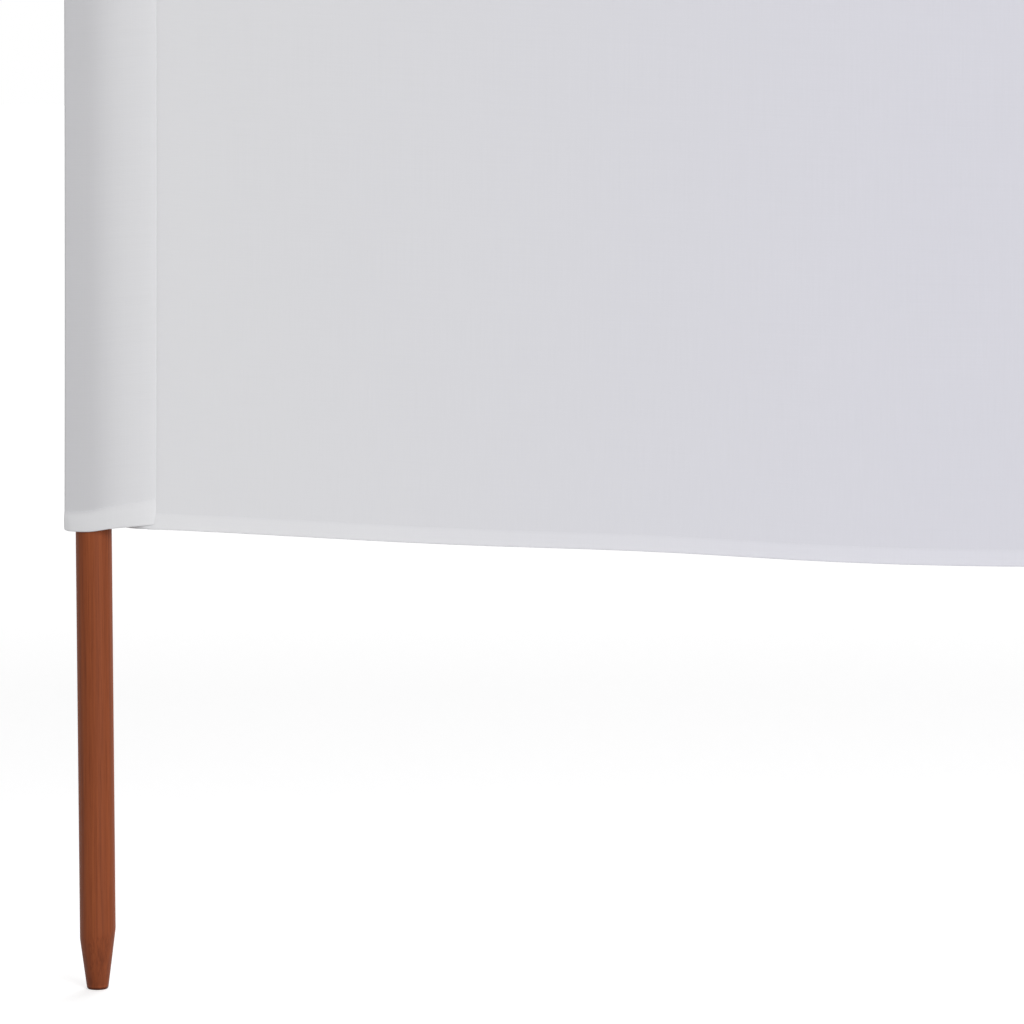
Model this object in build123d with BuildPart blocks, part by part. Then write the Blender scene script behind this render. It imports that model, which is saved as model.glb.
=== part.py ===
from build123d import *
import os

# Beach windbreak: a strip of plain cloth in a row of bays, held up by round wooden stakes in sewn pockets.
# X runs along the row, minus Y is the front and Z is up.
# The origin is the middle of the flat end of the middle stake, at the level of the ground.

# Row of bays
bay_count = 6
bay_pitch = 1326.0

# Stakes
stake_diameter = 25.0
stake_length = 1485.0
point_length = 38.5
point_diameter = 15.6
point_chamfer = 2.2
top_chamfer = 3.0
bare_stake_length = 325.0

# Cloth between the stakes
cloth_height = 1200.0
cloth_thickness = 1.2
edge_dip = 25.0
belly_depth = 20.0
hem_height = 12.5
hem_thickness = 2.4

# Pockets that the stakes stand in
pocket_slack = 0.4
fold_radius = 0.4
crease_reach = 18.8
crease_forward = 8.0
end_seam_reach = 44.0
middle_seam_reach = 32.0
seam_forward = 19.0
seam_width = 3.5
cuff_height = 16.0
cuff_thickness = 1.8

# Levels and places that follow from these sizes
stake_radius = stake_diameter / 2
stake_count = bay_count + 1
cloth_foot = bare_stake_length
cloth_head = cloth_foot + cloth_height
cuff_head = cloth_foot + cuff_height
top_hem_foot = cloth_head - hem_height
roof_foot = stake_length + pocket_slack


def stake_x(number):
    """Place of a stake along the row, counted from 1 at the left end."""
    return (number - 1 - bay_count / 2) * bay_pitch


def seam_reach(number):
    """How far a pocket's seam lies from the axis of its stake."""
    if number in (1, stake_count):
        return end_seam_reach
    return middle_seam_reach


def pocket_edges(number):
    """Left and right edge of a pocket seen from above, with the axis of its stake at zero."""
    reach = seam_reach(number)
    left = Vector(-reach, -seam_forward)
    right = Vector(reach, -seam_forward)
    if number == 1:
        left = Vector(-crease_reach, -crease_forward)
    if number == stake_count:
        right = Vector(crease_reach, -crease_forward)
    return left, right


def cut_at_seams(number, layer, inset):
    """Keeps the part of a sketch between a pocket's seams, where the panels are sewn on."""
    left, right = pocket_edges(number)
    left_limit = left.X + inset
    right_limit = right.X - inset
    if number == 1:
        left_limit = left.X - fold_radius - layer
    if number == stake_count:
        right_limit = right.X + fold_radius + layer
    width = right_limit - left_limit
    with Locations(((left_limit + right_limit) / 2, 0)):
        Rectangle(width, 2 * width, mode=Mode.INTERSECT)


def cloth_round_stake(number, layer, inset):
    """Draws cloth pulled round the stake and out to both edges of its pocket, at a layer's distance."""
    left, right = pocket_edges(number)
    Circle(stake_radius + pocket_slack + layer)
    with Locations(left, right):
        Circle(fold_radius + layer)
    make_hull()
    cut_at_seams(number, layer, inset)


def roof_shape(number, layer):
    """Draws a pocket from its end: upright walls, closing over the top of the stake to the flat hem."""
    left, right = pocket_edges(number)
    chord = (right - left).normalized()
    backward = chord.rotate(Axis.Z, 90)
    axis_depth = -left.dot(backward)
    wrap_radius = stake_radius + pocket_slack + layer
    edge = fold_radius + layer
    back = axis_depth + wrap_radius
    front = min(axis_depth - wrap_radius, -edge)
    head = top_hem_foot - cloth_thickness + layer
    Polygon(
        (front, cloth_foot),
        (back, cloth_foot),
        (back, roof_foot),
        (edge, head),
        (-edge, head),
        (front, roof_foot),
        align=None,
    )


def roof_plane(number):
    """Upright plane across a pocket, facing along the flat hem that closes it."""
    left, right = pocket_edges(number)
    chord = (right - left).normalized()
    foot = Vector(stake_x(number), 0) + left
    return Plane(origin=foot, x_dir=chord.rotate(Axis.Z, 90), z_dir=chord)


def level_plane(number, level):
    """Level plane with its origin on the axis of a stake."""
    return Plane(origin=(stake_x(number), 0, level))


def build_stake(number):
    """Round stake turned from one piece, with a blunt tapered point and chamfered ends."""
    upright = Plane(origin=(stake_x(number), 0, 0), x_dir=(1, 0, 0), z_dir=(0, -1, 0))
    with BuildPart() as stake:
        with BuildSketch(upright):
            with BuildLine():
                Polyline(
                    (0, 0),
                    (point_diameter / 2, 0),
                    (stake_radius, point_length),
                    (stake_radius, stake_length),
                    (0, stake_length),
                    close=True,
                )
            make_face()
        revolve(axis=Axis((stake_x(number), 0, 0), (0, 0, 1)))
        ends = stake.faces().filter_by(Axis.Z).sort_by(Axis.Z)
        chamfer(ends.first.edges(), length=point_chamfer)
        chamfer(ends.last.edges(), length=top_chamfer)
    return stake


def build_pocket(number):
    """Cloth pocket round a stake: open at its mouth and sewn shut under a flat hem at the top."""
    span = 2 * (end_seam_reach + crease_reach)
    with BuildPart() as room:
        with BuildSketch(level_plane(number, cloth_foot)):
            cloth_round_stake(number, 0, seam_width)
        extrude(amount=cloth_height)
        with BuildSketch(roof_plane(number)):
            roof_shape(number, 0)
        extrude(amount=span, both=True, mode=Mode.INTERSECT)
    with BuildPart() as pocket:
        with BuildSketch(level_plane(number, cuff_head)):
            cloth_round_stake(number, cloth_thickness, 0)
        extrude(amount=cloth_height - cuff_height)
        with BuildSketch(roof_plane(number)):
            roof_shape(number, cloth_thickness)
        extrude(amount=span, both=True, mode=Mode.INTERSECT)
        with BuildSketch(level_plane(number, top_hem_foot)):
            with Locations(*pocket_edges(number)):
                Circle(hem_thickness / 2)
            make_hull()
            cut_at_seams(number, hem_thickness / 2 - fold_radius, 0)
        extrude(amount=hem_height)
        add(room.part, mode=Mode.SUBTRACT)
    return pocket


def build_cuff(number):
    """Thicker hem round the mouth of a pocket."""
    with BuildPart() as cuff:
        with BuildSketch(level_plane(number, cloth_foot)):
            cloth_round_stake(number, cuff_thickness, 0)
        extrude(amount=cuff_height)
        with BuildSketch(level_plane(number, cloth_foot)):
            cloth_round_stake(number, 0, seam_width)
        extrude(amount=cuff_height, mode=Mode.SUBTRACT)
    return cuff


def build_strip(bay, foot, head, thickness):
    """Strip of cloth across one bay: bellied to the front, with edges that dip between its two stakes."""
    left = stake_x(bay) + seam_reach(bay)
    right = stake_x(bay + 1) - seam_reach(bay + 1)
    middle = (left + right) / 2
    front = -seam_forward - thickness / 2
    back = front + thickness
    with BuildPart() as strip:
        with BuildSketch(Plane.XY.offset(foot - edge_dip)):
            with BuildLine():
                ThreePointArc((left, front), (middle, front - belly_depth), (right, front))
                Line((right, front), (right, back))
                ThreePointArc((right, back), (middle, back - belly_depth), (left, back))
                Line((left, back), (left, front))
            make_face()
        extrude(amount=head - foot + edge_dip)
        with BuildSketch(Plane.XZ):
            with BuildLine():
                ThreePointArc((left, foot), (middle, foot - edge_dip), (right, foot))
                Line((right, foot), (right, head))
                ThreePointArc((right, head), (middle, head - edge_dip), (left, head))
                Line((left, head), (left, foot))
            make_face()
        extrude(amount=2 * (seam_forward + belly_depth), both=True, mode=Mode.INTERSECT)
    return strip


def save(piece, name):
    """Labels a finished piece and writes it as its own file."""
    piece.part.label = name
    export_step(piece.part, f"parts/{name}.step")


os.makedirs("parts", exist_ok=True)

for number in range(1, stake_count + 1):
    save(build_stake(number), f"stake_{number}")
    save(build_pocket(number), f"pocket_{number}")
    save(build_cuff(number), f"cuff_{number}")

for bay in range(1, bay_count + 1):
    bottom_hem_head = cloth_foot + hem_height
    save(build_strip(bay, cloth_foot, bottom_hem_head, hem_thickness), f"bottom_hem_{bay}")
    save(build_strip(bay, bottom_hem_head, top_hem_foot, cloth_thickness), f"panel_{bay}")
    save(build_strip(bay, top_hem_foot, cloth_head, hem_thickness), f"top_hem_{bay}")
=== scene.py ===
import math

import bpy
import numpy as np
from bpy.props import FloatProperty, FloatVectorProperty, IntProperty, PointerProperty
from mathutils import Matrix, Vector


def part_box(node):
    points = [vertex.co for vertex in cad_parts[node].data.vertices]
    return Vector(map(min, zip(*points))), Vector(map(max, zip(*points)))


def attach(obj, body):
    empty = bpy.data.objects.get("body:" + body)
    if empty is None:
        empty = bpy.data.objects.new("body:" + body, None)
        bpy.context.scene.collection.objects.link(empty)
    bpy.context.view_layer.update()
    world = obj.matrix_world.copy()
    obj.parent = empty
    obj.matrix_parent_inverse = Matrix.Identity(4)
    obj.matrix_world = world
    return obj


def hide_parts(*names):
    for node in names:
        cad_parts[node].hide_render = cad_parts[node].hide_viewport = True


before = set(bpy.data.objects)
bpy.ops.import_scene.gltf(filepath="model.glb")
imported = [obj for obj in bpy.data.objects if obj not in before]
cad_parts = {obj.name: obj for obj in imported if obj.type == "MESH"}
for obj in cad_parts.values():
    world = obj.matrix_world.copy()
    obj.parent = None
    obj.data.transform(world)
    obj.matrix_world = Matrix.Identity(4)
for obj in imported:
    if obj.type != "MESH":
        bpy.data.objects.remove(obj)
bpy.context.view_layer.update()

bl_info = {
    "name": "Beach Windbreak",
    "version": (1, 0, 0),
    "blender": (4, 5, 0),
    "location": "View3D > Sidebar > Windbreak",
    "description": "Dresses a beach windbreak in white cloth, stained wood and thread",
    "category": "Add Mesh",
}

# X runs along the row, minus Y is the front, Z is up, and lengths are in metres.
STAKE_COUNT = sum(name.startswith("stake_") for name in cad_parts)
STAKE_LOW, STAKE_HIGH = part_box("stake_1")
CLOTH_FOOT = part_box("cuff_1")[0].z
CLOTH_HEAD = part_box("pocket_1")[1].z
HEM_HEIGHT = CLOTH_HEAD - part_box("panel_1")[1].z
CUFF_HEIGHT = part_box("cuff_1")[1].z - CLOTH_FOOT

# Points nearer to each other than this are merged
SAME_PLACE = 0.000005

# Rings that a stake is drawn up through, its rounded rim, and the turn of each skewed point from the last
RIM_STEPS = 5
RIM_ROUND_SHARE = 0.55
POINT_RINGS = 30
SHAFT_RINGS = 31
CUT_REACH_SKEWS = 2.5
POINT_TURN = 2.4
STAKE_SHARP_ANGLE = math.radians(35)

# Panels: their grids, the overlap at the sides and hems, the sag and the waves
PANEL_COLUMNS = 112
PANEL_ROWS = 80
PANEL_SIDE_DENSITY = 0.97
PANEL_EDGE_DENSITY = 0.6
PANEL_OVERLAP = 0.001
PANEL_TUCK_SHARE = 0.45
DIP_CURVE = 1.18
WAVE_LENGTHS = (1.1, 0.72, 0.47)
WAVE_TURN = 0.7
GROOVE_WIDTH = 0.0016

# Wave in a panel's bottom edge: its place across odd and even bays, width, rise and the height it fades in
EDGE_WAVE_ODD = 0.272
EDGE_WAVE_EVEN = 0.7
EDGE_WAVE_WIDTH = 0.093
EDGE_WAVE_RISE = 0.0032
EDGE_WAVE_FADE = 0.2

# Hems: their grids, how thick and how square the fold is, and the tongues that reach past the seams
HEM_COLUMNS = 200
FOLD_POINTS = 28
FOLD_SQUARENESS = 0.25
HEM_DENSITY = 0.8
HEM_SEWN_LAYERS = 0.64
HEM_FULL_SHARE = 0.9
HEM_FLAT_END = 0.03
HEM_SHARP_ANGLE = math.radians(75)
BOTTOM_TONGUE = 0.006
TOP_TONGUE = 0.0016
TONGUE_SET_BACK = 0.0011
TONGUE_CURVE = 1.3

# Lightness that each turn of a hem's layers adds, and where it starts and ends below the sewn edge
HEM_LIGHT_STEPS = ((0.62, -0.001, 0.004), (0.38, 0.006, 0.011))

# Pockets: their grids, how an end pocket leans, and how front and back come together at a seam and at the top
POCKET_COLUMNS = 96
POCKET_ROWS = 96
POCKET_DENSITY = 0.7
POCKET_MAP_WIDTH = 0.16
LEAN_CURVE = 1.5
SEAM_LEAN_SHARE = 0.85
CREASE_LEAN_SHARE = 0.35
FRONT_CURVE = 2.1
SEAM_ROLL_WIDTH = 0.004
SEAM_FLAT_WIDTH = 0.002
END_PRESS_SHARE = 1.4
SEAM_LAYERS = 2.2
SEAM_EDGE_ROUND = 0.0008
CLOSING_START = 0.004
TOP_EDGE_ROUND = 0.0008
OUTWARD_STEP = 0.004

# Shares of a pocket's rows and of its height: rows lie close at the cuff and where the top closes
ROW_SHARES = (0, 0.14, 0.5, 0.84, 0.95, 1)
ROW_CLIMBS = (0, 0.019, 0.945, 0.9896, 0.9993, 1)

# Edge of an end pocket's mouth, by shares of the way round, and the sway of a middle pocket's
FAR_MOUTH_SHARE = 0.6
MOUTH_CORNER_LIFT = 0.0016
MOUTH_CORNER_WIDTH = 0.035
MOUTH_SAG = 0.00115
MOUTH_SAG_PLACE = 0.72
MOUTH_SAG_WIDTH = 0.17
MOUTH_BACK_FADE = 0.06
MOUTH_BACK_LIFT = 0.0004
MOUTH_BACK_START = 0.75
MOUTH_BACK_END = 0.95
MOUTH_SEAM_START = 0.975
MIDDLE_SWAY = 0.0009

# Cuffs: their grids, where the fold is full, where an end cuff has its plain height, and its layers
CUFF_COLUMNS = 120
CUFF_FULL_FROM_SEAM = 0.2
CUFF_FULL_FROM_CREASE = 0.1
CUFF_PLAIN_PLACE = 0.65
CUFF_SEWN_LAYERS = 0.6
CUFF_FOLD_LAYERS = 0.4
CUFF_FULL_SHARE = 0.5
CUFF_LIGHT = 0.66
CUFF_LIGHT_START = -0.001
CUFF_LIGHT_END = 0.0045

# Painted shadow of the stake inside a pocket: its width and curve, its wider reach towards an end pocket's
# crease as painted shade there, its end at the stake's top, and how layers hide it
SHADE_WIDTH = 0.0145
SHADE_CURVE = 1.7
SHADE_CREASE_SHARE = 0.33
SHADE_FADE_BELOW = 0.012
SHADE_FADE_ABOVE = 0.008
SHADE_HIDDEN = 1.4

# Rows of stitches: the points of their lines, their ends, and how far they press the cloth in
ROW_POINTS = 160
HEM_ROW_MARGIN = 0.001
CUFF_ROW_MARGIN = 0.02
SEAM_ROW_WAY = 0.05
SEAM_ROW_START = 0.004
SEAM_ROW_END = 0.002
STITCH_PRESS = 0.1
STITCH_PRESS_WIDTH = 0.0012
STITCH_SIDES = 4
STITCH_RINGS = 3

# Stage: the camera's sensor in millimetres, the lamps' spread in degrees and the side they shine from
SENSOR_WIDTH = 36
VIEW_END = 1000
LAMP_HEIGHT = 6
KEY_SPREAD = 38
KEY_SIDE = (0.66, -1.0, 0.45)
BACK_SPREAD = 45
BACK_SIDE = (0.35, 1.0, 0.8)
FLOOR_ROUGHNESS = 0.9
FLOOR_GRAIN = 40
FLOOR_DARK = (0.64, 0.64, 0.64)
FLOOR_LIGHT = (0.66, 0.66, 0.66)
FLOOR_GLOW = 0.55
WHITE = (1, 1, 1, 1)


class WindbreakStakeSettings(bpy.types.PropertyGroup):
    """Sizes and stain of the wooden stakes."""

    radius: FloatProperty(
        name="Radius", description="Half of a stake's thickness",
        default=(STAKE_HIGH.x - STAKE_LOW.x) / 2, unit="LENGTH",
    )
    point_radius: FloatProperty(
        name="Point Radius", description="Radius that the point tapers to at the blunt end",
        default=0.0074, unit="LENGTH",
    )
    point_length: FloatProperty(
        name="Point Length", description="Height of the tapered point", default=0.039, unit="LENGTH",
    )
    point_skew: FloatProperty(
        name="Point Skew", description="How much lower or higher the taper starts on its two sides",
        default=0.0034, unit="LENGTH",
    )
    rim: FloatProperty(
        name="Rim", description="Height of the rounded rim at the blunt end", default=0.0016, unit="LENGTH",
    )
    top_round: FloatProperty(
        name="Top Round", description="Rounding of the stake's top edge", default=0.003, unit="LENGTH",
    )
    sides: IntProperty(name="Sides", description="Faces round a stake", default=56)
    stain: FloatVectorProperty(
        name="Stain", description="Main colour of the stained wood",
        default=(0.232, 0.0572, 0.0192), size=3, subtype="COLOR", min=0, max=1,
    )
    grain: FloatVectorProperty(
        name="Grain", description="Colour of the dark grain streaks",
        default=(0.165, 0.0405, 0.0146), size=3, subtype="COLOR", min=0, max=1,
    )
    glow: FloatVectorProperty(
        name="Light Grain", description="Colour of the light grain streaks",
        default=(0.276, 0.0735, 0.0252), size=3, subtype="COLOR", min=0, max=1,
    )


class WindbreakClothSettings(bpy.types.PropertyGroup):
    """Sizes and colours of the panels and their hems."""

    foot: FloatProperty(
        name="Foot", description="Level of the cloth's bottom edge at the stakes",
        default=CLOTH_FOOT, unit="LENGTH",
    )
    head: FloatProperty(
        name="Head", description="Level of the cloth's top edge at the stakes",
        default=CLOTH_HEAD, unit="LENGTH",
    )
    thickness: FloatProperty(
        name="Thickness", description="Thickness of one layer of cloth", default=0.0005, unit="LENGTH",
    )
    seam_plane: FloatProperty(
        name="Seam Plane", description="Place of the seams from front to back, with the stakes' axes at 0",
        default=-0.019, unit="LENGTH",
    )
    belly: FloatProperty(
        name="Belly", description="How far a panel bellies to the front", default=0.012, unit="LENGTH",
    )
    dip: FloatProperty(
        name="Dip", description="How far a panel sags between two stakes", default=0.0243, unit="LENGTH",
    )
    slack: FloatProperty(
        name="Slack", description="Height of the slow waves in a panel", default=0.0016, unit="LENGTH",
    )
    groove: FloatProperty(
        name="Groove", description="How deep the seams draw in a panel's edge",
        default=0.00028, unit="LENGTH",
    )
    hem_height: FloatProperty(
        name="Hem Height", description="Height of the folded hem", default=HEM_HEIGHT, unit="LENGTH",
    )
    hem_thickness: FloatProperty(
        name="Hem Thickness", description="Thickness of the folded hem", default=0.0016, unit="LENGTH",
    )
    colour: FloatVectorProperty(
        name="Cloth", description="Colour of a single layer of cloth",
        default=(0.698, 0.698, 0.733), size=3, subtype="COLOR", min=0, max=1,
    )
    hem_colour: FloatVectorProperty(
        name="Hem Cloth", description="Colour of the cloth where several layers lie together",
        default=(0.746, 0.746, 0.779), size=3, subtype="COLOR", min=0, max=1,
    )


class WindbreakPocketSettings(bpy.types.PropertyGroup):
    """Sizes of the pockets and of the cuffs round their mouths."""

    crease_reach: FloatProperty(
        name="Crease Reach", description="Distance of an end pocket's crease from the stake's axis",
        default=0.0194, unit="LENGTH",
    )
    crease_depth: FloatProperty(
        name="Crease Depth", description="How far the crease lies behind the seam",
        default=0.0115, unit="LENGTH",
    )
    lean: FloatProperty(
        name="Lean", description="How far an end pocket leans over at its top", default=0.0052, unit="LENGTH",
    )
    lean_height: FloatProperty(
        name="Lean Height", description="Height over which an end pocket leans", default=0.6, unit="LENGTH",
    )
    seam_shift: FloatProperty(
        name="Seam Shift", description="How far slack lets an end pocket's seam lie from its cut place",
        default=0.0008, unit="LENGTH",
    )
    seam_roll: FloatProperty(
        name="Seam Roll", description="How far the folded seam edge stands proud",
        default=0.0006, unit="LENGTH",
    )
    seam_press: FloatProperty(
        name="Seam Press", description="Width over which a pocket's back is drawn to its front beside a seam",
        default=0.021, unit="LENGTH",
    )
    bulge: FloatProperty(
        name="Bulge", description="How far a middle pocket's front stands out", default=0.0012, unit="LENGTH",
    )
    slack: FloatProperty(
        name="Slack", description="Room between the stake and the pocket's outer face",
        default=0.0009, unit="LENGTH",
    )
    cuff_height: FloatProperty(
        name="Cuff Height", description="Height of the hem round a pocket's mouth",
        default=CUFF_HEIGHT, unit="LENGTH",
    )
    cuff_flare: FloatProperty(
        name="Cuff Flare", description="How much taller an end cuff is at its seam than at its crease",
        default=0.0052, unit="LENGTH",
    )
    cuff_fold: FloatProperty(
        name="Cuff Fold", description="How full the fold round a pocket's mouth is",
        default=0.0005, unit="LENGTH",
    )
    mouth_drop: FloatProperty(
        name="Mouth Drop", description="How far the mouth's front hangs down at the crease",
        default=0.00255, unit="LENGTH",
    )
    mouth_lift: FloatProperty(
        name="Mouth Lift", description="How far the mouth's front rises at the seam",
        default=0.0034, unit="LENGTH",
    )


class WindbreakStitchSettings(bpy.types.PropertyGroup):
    """Sizes of the stitches."""

    pitch: FloatProperty(
        name="Pitch", description="Distance from one stitch to the next", default=0.0034, unit="LENGTH",
    )
    length: FloatProperty(
        name="Length", description="Length of a stitch", default=0.0029, unit="LENGTH",
    )
    width: FloatProperty(
        name="Width", description="Width of a stitch", default=0.00042, unit="LENGTH",
    )
    inset: FloatProperty(
        name="Inset", description="Distance of a stitch row from the hem's sewn edge",
        default=0.0012, unit="LENGTH",
    )
    sink: FloatProperty(
        name="Sink", description="How far the middle of a stitch lies below the cloth's face",
        default=0.00014, unit="LENGTH",
    )


class WindbreakStageSettings(bpy.types.PropertyGroup):
    """Camera, light and floor."""

    lens: FloatProperty(name="Lens", description="Focal length in millimetres", default=144.9)
    distance: FloatProperty(
        name="Distance", description="Distance of the camera in front of the row",
        default=2.84, unit="LENGTH",
    )
    height: FloatProperty(
        name="Height", description="Height of the camera above the ground", default=0.6213, unit="LENGTH",
    )
    tilt: FloatProperty(
        name="Tilt", description="How far the camera looks down",
        default=math.radians(5.75), subtype="ANGLE",
    )
    side: FloatProperty(
        name="Side", description="Distance of the camera to the right of the first stake",
        default=0.2898, unit="LENGTH",
    )
    key: FloatProperty(name="Key", description="Strength of the light from the front right", default=2.22)
    fill: FloatProperty(name="Fill", description="Strength of the light from behind", default=1.4)
    sky: FloatProperty(name="Sky", description="Strength of the light from all round", default=0.35)
    floor_size: FloatProperty(name="Floor Size", description="Side of the floor", default=600, unit="LENGTH")


def stake_x(number):
    """Place of a stake along the row."""
    low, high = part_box(f"stake_{number}")
    return (low.x + high.x) / 2


def bay_seams(bay):
    """Places along the row of the two seams that hold a panel."""
    low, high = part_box(f"panel_{bay}")
    return low.x, high.x


def is_end(number):
    """Whether a pocket is one of the two at the ends of the row."""
    return number in (1, STAKE_COUNT)


def smooth_rise(value, start, end):
    """Rises from 0 at the start to 1 at the end, gently at both."""
    share = np.clip((value - start) / (end - start), 0, 1)
    return share * share * (3 - 2 * share)


def denser_ends(share, strength):
    """Moves evenly spread places towards both ends."""
    return share - strength * np.sin(2 * np.pi * share) / (2 * np.pi)


def soft_waves(along, up, seed):
    """Slow waves in several directions, the same for the same seed."""
    chance = np.random.default_rng(seed)
    height = np.zeros_like(along)
    for length in WAVE_LENGTHS:
        turn = chance.uniform(-WAVE_TURN, WAVE_TURN)
        phase = chance.uniform(0, 2 * np.pi)
        run = along * np.cos(turn) + up * np.sin(turn)
        height += np.sin(2 * np.pi * run / length + phase)
    return height / len(WAVE_LENGTHS)


def read_points(piece):
    """Places of a piece's points."""
    places = np.empty(len(piece.data.vertices) * 3)
    piece.data.vertices.foreach_get("co", places)
    return places.reshape(-1, 3)


def place_points(piece, places):
    """Moves a piece's points to their places."""
    piece.data.vertices.foreach_set("co", np.ascontiguousarray(places, dtype=np.float32).ravel())
    piece.data.update()


def add_grid(name, columns, rows):
    """Adds a flat grid and returns it with the place of each point across and up, from 0 to 1."""
    bpy.ops.object.select_all(action="DESELECT")
    bpy.ops.mesh.primitive_grid_add(x_subdivisions=columns, y_subdivisions=rows, size=1, calc_uvs=True)
    piece = bpy.context.object
    piece.name = piece.data.name = name
    flat = read_points(piece)
    return piece, flat[:, 0] + 0.5, flat[:, 1] + 0.5


def scale_map(piece, width, height):
    """Scales a piece's UV map to metres of cloth, so that the weave keeps its size."""
    layer = piece.data.uv_layers.active
    layer.name = "UVMap"
    spots = np.empty(len(layer.uv) * 2, dtype=np.float32)
    layer.uv.foreach_get("vector", spots)
    spots = spots.reshape(-1, 2) * (width, height)
    layer.uv.foreach_set("vector", np.ascontiguousarray(spots, dtype=np.float32).ravel())


def paint_points(piece, name, values):
    """Stores one number for each point of a piece."""
    layer = piece.data.attributes.new(name, "FLOAT", "POINT")
    layer.data.foreach_set("value", np.ascontiguousarray(values, dtype=np.float32))


def weld(piece, close_ends=False, open_bag=False):
    """Merges a grid's meeting edges, closes its ends where it is a bar, and turns its faces outwards."""
    bpy.ops.object.mode_set(mode="EDIT")
    bpy.ops.mesh.select_all(action="SELECT")
    bpy.ops.mesh.remove_doubles(threshold=SAME_PLACE)
    if close_ends:
        bpy.ops.mesh.select_all(action="SELECT")
        bpy.ops.mesh.fill_holes(sides=0)
        bpy.ops.mesh.select_all(action="SELECT")
    if open_bag:
        bpy.ops.mesh.flip_normals()
    else:
        bpy.ops.mesh.normals_make_consistent(inside=False)
    bpy.ops.object.mode_set(mode="OBJECT")


def thicken(piece, thickness, offset):
    """Gives a sheet its thickness."""
    wall = piece.modifiers.new("Cloth thickness", "SOLIDIFY")
    wall.thickness = thickness
    wall.offset = offset
    bpy.ops.object.modifier_apply(modifier=wall.name)


def finish_piece(piece, node, material):
    """Shades a piece, gives it its material and puts it in the place of its CAD node."""
    bpy.ops.object.shade_smooth()
    piece.data.materials.clear()
    piece.data.materials.append(material)
    if node:
        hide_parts(node)
    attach(piece, "root")


def pocket_lean(level):
    """How far an end pocket leans away from its crease side above its mouth."""
    cloth = bpy.context.scene.windbreak_cloth
    pocket = bpy.context.scene.windbreak_pocket
    above_mouth = np.clip((level - cloth.foot) / pocket.lean_height, 0, 1)
    return pocket.lean * (1 - (1 - above_mouth) ** LEAN_CURVE)


def end_seam_drift(level):
    """How far slack and lean move an end pocket's seam from its cut place, away from the crease."""
    return bpy.context.scene.windbreak_pocket.seam_shift + SEAM_LEAN_SHARE * pocket_lean(level)


def cloth_places(bay, share, height):
    """Places on the middle of a panel, by their share of the way across and height above its bottom edge."""
    cloth = bpy.context.scene.windbreak_cloth
    left, right = bay_seams(bay)
    if bay == 1:
        left = left + end_seam_drift(cloth.foot + height)
    if bay == STAKE_COUNT - 1:
        right = right - end_seam_drift(cloth.foot + height)
    inside = np.clip(share, 0, 1)
    arch = np.sin(np.pi * inside)
    wave_middle = EDGE_WAVE_ODD if bay % 2 else EDGE_WAVE_EVEN
    edge_wave = EDGE_WAVE_RISE * np.exp(-((inside - wave_middle) / EDGE_WAVE_WIDTH) ** 2)
    along = left + (right - left) * share
    up = cloth.foot + height - cloth.dip * arch ** DIP_CURVE + edge_wave * np.exp(-height / EDGE_WAVE_FADE)
    waves = soft_waves(along, up, bay)
    depth = cloth.seam_plane - cloth.belly * 4 * inside * (1 - inside) + cloth.slack * arch * waves
    to_seam = np.minimum(inside, 1 - inside) * (right - left)
    drawn = smooth_rise(height, cloth.hem_height, 2 * cloth.hem_height)
    depth = depth + cloth.groove * drawn * np.exp(-to_seam / GROOVE_WIDTH)
    return np.stack((along, depth, up), axis=-1)


def fold_section(around, height):
    """Rise and side of each point round a flat fold of cloth, from its sewn edge to the fold and back."""
    turn = 2 * np.pi * around + np.pi / 2
    rise = height / 2 * (1 + np.sin(turn))
    side = np.sign(np.cos(turn)) * np.abs(np.cos(turn)) ** FOLD_SQUARENESS
    return rise, side


def stitch_press(height, rise):
    """Share of a fold's thickness that its row of stitches presses in."""
    stitch = bpy.context.scene.windbreak_stitch
    return STITCH_PRESS * np.exp(-((height - stitch.inset - rise) / STITCH_PRESS_WIDTH) ** 2)


def hem_half(rise):
    """Half of a hem's thickness at a height above its fold: thin at the sewn edge, fuller at the fold."""
    cloth = bpy.context.scene.windbreak_cloth
    sewn = HEM_SEWN_LAYERS * cloth.thickness
    fullness = smooth_rise(cloth.hem_height - rise, 0, HEM_FULL_SHARE * cloth.hem_height)
    return sewn + (cloth.hem_thickness / 2 - sewn) * fullness


def way_from_seam(number, way):
    """Way round a pocket from 0 to 1, turned round at the last stake, so that it always starts at a seam."""
    way = np.mod(way, 1.0)
    if number == STAKE_COUNT:
        way = 1 - way
    return way


def wrapped_path(start, end, radius, share):
    """Places along cloth pulled from a start round the back of a round stake to an end."""
    start_x, start_y = start
    end_x, end_y = end
    start_far = np.hypot(start_x, start_y)
    end_far = np.hypot(end_x, end_y)
    first_turn = np.mod(np.arctan2(start_y, start_x), 2 * np.pi) - np.arccos(radius / start_far)
    last_turn = np.arctan2(end_y, end_x) + np.arccos(radius / end_far)
    first_run = np.sqrt(start_far ** 2 - radius ** 2)
    last_run = np.sqrt(end_far ** 2 - radius ** 2)
    arc_run = (first_turn - last_turn) * radius
    run = share * (first_run + arc_run + last_run)
    before = np.clip(run / first_run, 0, 1)
    after = np.clip((run - first_run - arc_run) / last_run, 0, 1)
    turn = first_turn - np.clip(run - first_run, 0, arc_run) / radius
    round_x = radius * np.cos(turn)
    round_y = radius * np.sin(turn)
    along = np.where(before < 1, start_x + (round_x - start_x) * before, round_x + (end_x - round_x) * after)
    depth = np.where(before < 1, start_y + (round_y - start_y) * before, round_y + (end_y - round_y) * after)
    return along, depth


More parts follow.
